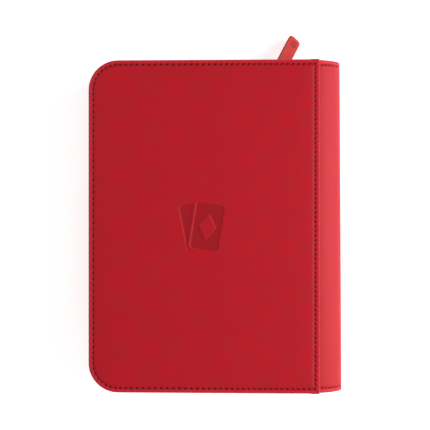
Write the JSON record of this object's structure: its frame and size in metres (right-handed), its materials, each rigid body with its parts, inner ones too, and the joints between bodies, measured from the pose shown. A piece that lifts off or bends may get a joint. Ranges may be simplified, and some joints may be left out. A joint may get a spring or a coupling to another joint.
{
  "type": "trading card binder",
  "caption": "Zip-round padded album for trading cards: two stiff covers, a flexible rounded spine, side-loading pocket leaves and a zip with a pull tab.",
  "frame": {"origin": "centre of the back cover's outer face, on which the closed binder lies", "axes": "+X from the fore-edge to the spine, +Y from the tail edge to the head edge where the zip slider is parked, +Z through the thickness from the back cover to the front cover"},
  "size_m": [0.1791, 0.2569, 0.036],
  "materials": {
    "red_leatherette": "fine woven emboss, satin",
    "foam": "open-cell foam",
    "board": "grey board",
    "lining_cloth": "fine woven cloth",
    "zip_tape": "herringbone woven tape",
    "zip_teeth": "moulded nylon coil",
    "plated_metal": "bright plated",
    "slider_paint": "satin paint",
    "pull_rubber": "soft satin",
    "leaf_film": "black core under clear film",
    "stiffener": "thin sheet"
  },
  "bodies": {
    "back_cover": {"back_skin": "red_leatherette", "back_padding": "foam", "back_board": "board", "back_lining": "lining_cloth", "back_zip_tape": "zip_tape", "back_zip_coil": "zip_teeth", "back_zip_stops": "plated_metal"},
    "front_cover": {"front_skin": "red_leatherette", "front_padding": "foam", "front_board": "board", "front_lining": "lining_cloth", "front_zip_tape": "zip_tape", "front_zip_coil": "zip_teeth", "front_zip_stops": "plated_metal"},
    "spine_strip_1": {"spine_skin_1": "red_leatherette", "spine_stiffener_1": "stiffener", "spine_lining_1": "lining_cloth"},
    "spine_strip_2": {"spine_skin_2": "red_leatherette", "spine_stiffener_2": "stiffener", "spine_lining_2": "lining_cloth"},
    "spine_strip_3": {"spine_skin_3": "red_leatherette", "spine_stiffener_3": "stiffener", "spine_lining_3": "lining_cloth", "binding_channel": "lining_cloth", "leaf_stubs": "leaf_film"},
    "spine_strip_4": {"spine_skin_4": "red_leatherette", "spine_stiffener_4": "stiffener", "spine_lining_4": "lining_cloth"},
    "spine_strip_5": {"spine_skin_5": "red_leatherette", "spine_stiffener_5": "stiffener", "spine_lining_5": "lining_cloth"},
    "leaf_01": {"leaf_01": "leaf_film"},
    "leaf_02": {"leaf_02": "leaf_film"},
    "leaf_03": {"leaf_03": "leaf_film"},
    "leaf_04": {"leaf_04": "leaf_film"},
    "leaf_05": {"leaf_05": "leaf_film"},
    "leaf_06": {"leaf_06": "leaf_film"},
    "leaf_07": {"leaf_07": "leaf_film"},
    "leaf_08": {"leaf_08": "leaf_film"},
    "leaf_09": {"leaf_09": "leaf_film"},
    "leaf_10": {"leaf_10": "leaf_film"},
    "leaf_11": {"leaf_11": "leaf_film"},
    "leaf_12": {"leaf_12": "leaf_film"},
    "leaf_13": {"leaf_13": "leaf_film"},
    "leaf_14": {"leaf_14": "leaf_film"},
    "leaf_15": {"leaf_15": "leaf_film"},
    "leaf_16": {"leaf_16": "leaf_film"},
    "leaf_17": {"leaf_17": "leaf_film"},
    "leaf_18": {"leaf_18": "leaf_film"},
    "leaf_19": {"leaf_19": "leaf_film"},
    "leaf_20": {"leaf_20": "leaf_film"},
    "slider": {"zip_slider": "slider_paint"},
    "ring": {"pull_ring": "plated_metal"},
    "tab": {"pull_tab": "pull_rubber"}
  },
  "joints": [
    {"name": "spine_fold_1", "type": "hinge", "parent": "back_cover", "child": "spine_strip_1", "pos_m": [0.081, 0, 0.0009], "axis": [0, 1, 0], "range_deg": [0, 18]},
    {"name": "spine_fold_2", "type": "hinge", "parent": "spine_strip_1", "child": "spine_strip_2", "pos_m": [0.09105, 0, 0.00417], "axis": [0, 1, 0], "range_deg": [0, 36]},
    {"name": "spine_fold_3", "type": "hinge", "parent": "spine_strip_2", "child": "spine_strip_3", "pos_m": [0.09726, 0, 0.01272], "axis": [0, 1, 0], "range_deg": [0, 36]},
    {"name": "spine_fold_4", "type": "hinge", "parent": "spine_strip_3", "child": "spine_strip_4", "pos_m": [0.09726, 0, 0.02328], "axis": [0, 1, 0], "range_deg": [0, 36]},
    {"name": "spine_fold_5", "type": "hinge", "parent": "spine_strip_4", "child": "spine_strip_5", "pos_m": [0.09105, 0, 0.03183], "axis": [0, 1, 0], "range_deg": [0, 36]},
    {"name": "spine_fold_6", "type": "hinge", "parent": "spine_strip_5", "child": "front_cover", "pos_m": [0.081, 0, 0.0351], "axis": [0, 1, 0], "range_deg": [0, 18]},
    {"name": "leaf_crease_01", "type": "hinge", "parent": "spine_strip_3", "child": "leaf_01", "pos_m": [0.0885, 0, 0.01325], "axis": [0, 1, 0], "range_deg": [-89.41, 0]},
    {"name": "leaf_crease_02", "type": "hinge", "parent": "spine_strip_3", "child": "leaf_02", "pos_m": [0.088, 0, 0.01375], "axis": [0, 1, 0], "range_deg": [-88.81, 0]},
    {"name": "leaf_crease_03", "type": "hinge", "parent": "spine_strip_3", "child": "leaf_03", "pos_m": [0.0875, 0, 0.01425], "axis": [0, 1, 0], "range_deg": [-88.21, 0]},
    {"name": "leaf_crease_04", "type": "hinge", "parent": "spine_strip_3", "child": "leaf_04", "pos_m": [0.087, 0, 0.01475], "axis": [0, 1, 0], "range_deg": [-87.61, 0]},
    {"name": "leaf_crease_05", "type": "hinge", "parent": "spine_strip_3", "child": "leaf_05", "pos_m": [0.0865, 0, 0.01525], "axis": [0, 1, 0], "range_deg": [-87.01, 0]},
    {"name": "leaf_crease_06", "type": "hinge", "parent": "spine_strip_3", "child": "leaf_06", "pos_m": [0.086, 0, 0.01575], "axis": [0, 1, 0], "range_deg": [-86.41, 0]},
    {"name": "leaf_crease_07", "type": "hinge", "parent": "spine_strip_3", "child": "leaf_07", "pos_m": [0.0855, 0, 0.01625], "axis": [0, 1, 0], "range_deg": [-85.81, 0]},
    {"name": "leaf_crease_08", "type": "hinge", "parent": "spine_strip_3", "child": "leaf_08", "pos_m": [0.085, 0, 0.01675], "axis": [0, 1, 0], "range_deg": [-85.21, 0]},
    {"name": "leaf_crease_09", "type": "hinge", "parent": "spine_strip_3", "child": "leaf_09", "pos_m": [0.0845, 0, 0.01725], "axis": [0, 1, 0], "range_deg": [-84.61, 0]},
    {"name": "leaf_crease_10", "type": "hinge", "parent": "spine_strip_3", "child": "leaf_10", "pos_m": [0.084, 0, 0.01775], "axis": [0, 1, 0], "range_deg": [-84.01, 0]},
    {"name": "leaf_crease_11", "type": "hinge", "parent": "spine_strip_3", "child": "leaf_11", "pos_m": [0.084, 0, 0.01825], "axis": [0, 1, 0], "range_deg": [0, 84.01]},
    {"name": "leaf_crease_12", "type": "hinge", "parent": "spine_strip_3", "child": "leaf_12", "pos_m": [0.0845, 0, 0.01875], "axis": [0, 1, 0], "range_deg": [0, 84.61]},
    {"name": "leaf_crease_13", "type": "hinge", "parent": "spine_strip_3", "child": "leaf_13", "pos_m": [0.085, 0, 0.01925], "axis": [0, 1, 0], "range_deg": [0, 85.21]},
    {"name": "leaf_crease_14", "type": "hinge", "parent": "spine_strip_3", "child": "leaf_14", "pos_m": [0.0855, 0, 0.01975], "axis": [0, 1, 0], "range_deg": [0, 85.81]},
    {"name": "leaf_crease_15", "type": "hinge", "parent": "spine_strip_3", "child": "leaf_15", "pos_m": [0.086, 0, 0.02025], "axis": [0, 1, 0], "range_deg": [0, 86.41]},
    {"name": "leaf_crease_16", "type": "hinge", "parent": "spine_strip_3", "child": "leaf_16", "pos_m": [0.0865, 0, 0.02075], "axis": [0, 1, 0], "range_deg": [0, 87.01]},
    {"name": "leaf_crease_17", "type": "hinge", "parent": "spine_strip_3", "child": "leaf_17", "pos_m": [0.087, 0, 0.02125], "axis": [0, 1, 0], "range_deg": [0, 87.61]},
    {"name": "leaf_crease_18", "type": "hinge", "parent": "spine_strip_3", "child": "leaf_18", "pos_m": [0.0875, 0, 0.02175], "axis": [0, 1, 0], "range_deg": [0, 88.21]},
    {"name": "leaf_crease_19", "type": "hinge", "parent": "spine_strip_3", "child": "leaf_19", "pos_m": [0.088, 0, 0.02225], "axis": [0, 1, 0], "range_deg": [0, 88.81]},
    {"name": "leaf_crease_20", "type": "hinge", "parent": "spine_strip_3", "child": "leaf_20", "pos_m": [0.0885, 0, 0.02275], "axis": [0, 1, 0], "range_deg": [0, 89.41]},
    {"name": "zip_slide", "type": "slide", "parent": "back_cover", "child": "slider", "axis": [-1, 0, 0], "range_m": [0, 0.108]},
    {"name": "ring_swing", "type": "hinge", "parent": "slider", "child": "ring", "pos_m": [0.054, 0.11165, 0.018], "axis": [0, 0, 1], "range_deg": [-19, 71]},
    {"name": "tab_lift", "type": "hinge", "parent": "ring", "child": "tab", "pos_m": [0.05716, 0.11812, 0.018], "axis": [0.8988, -0.4384, 0], "range_deg": [0, 60]}
  ],
  "couplings": [
    {"joint": "spine_fold_1", "follows": "spine_fold_2", "ratio": 0.5},
    {"joint": "spine_fold_3", "follows": "spine_fold_2", "ratio": 1},
    {"joint": "spine_fold_4", "follows": "spine_fold_2", "ratio": 1},
    {"joint": "spine_fold_5", "follows": "spine_fold_2", "ratio": 1},
    {"joint": "spine_fold_6", "follows": "spine_fold_2", "ratio": 0.5},
    {"joint": "leaf_crease_01", "follows": "spine_fold_2", "ratio": -2.4833},
    {"joint": "leaf_crease_02", "follows": "spine_fold_2", "ratio": -2.4667},
    {"joint": "leaf_crease_03", "follows": "spine_fold_2", "ratio": -2.45},
    {"joint": "leaf_crease_04", "follows": "spine_fold_2", "ratio": -2.4333},
    {"joint": "leaf_crease_05", "follows": "spine_fold_2", "ratio": -2.4167},
    {"joint": "leaf_crease_06", "follows": "spine_fold_2", "ratio": -2.4},
    {"joint": "leaf_crease_07", "follows": "spine_fold_2", "ratio": -2.3833},
    {"joint": "leaf_crease_08", "follows": "spine_fold_2", "ratio": -2.3667},
    {"joint": "leaf_crease_09", "follows": "spine_fold_2", "ratio": -2.35},
    {"joint": "leaf_crease_10", "follows": "spine_fold_2", "ratio": -2.3333},
    {"joint": "leaf_crease_11", "follows": "spine_fold_2", "ratio": 2.3333},
    {"joint": "leaf_crease_12", "follows": "spine_fold_2", "ratio": 2.35},
    {"joint": "leaf_crease_13", "follows": "spine_fold_2", "ratio": 2.3667},
    {"joint": "leaf_crease_14", "follows": "spine_fold_2", "ratio": 2.3833},
    {"joint": "leaf_crease_15", "follows": "spine_fold_2", "ratio": 2.4},
    {"joint": "leaf_crease_16", "follows": "spine_fold_2", "ratio": 2.4167},
    {"joint": "leaf_crease_17", "follows": "spine_fold_2", "ratio": 2.4333},
    {"joint": "leaf_crease_18", "follows": "spine_fold_2", "ratio": 2.45},
    {"joint": "leaf_crease_19", "follows": "spine_fold_2", "ratio": 2.4667},
    {"joint": "leaf_crease_20", "follows": "spine_fold_2", "ratio": 2.4833}
  ]
}
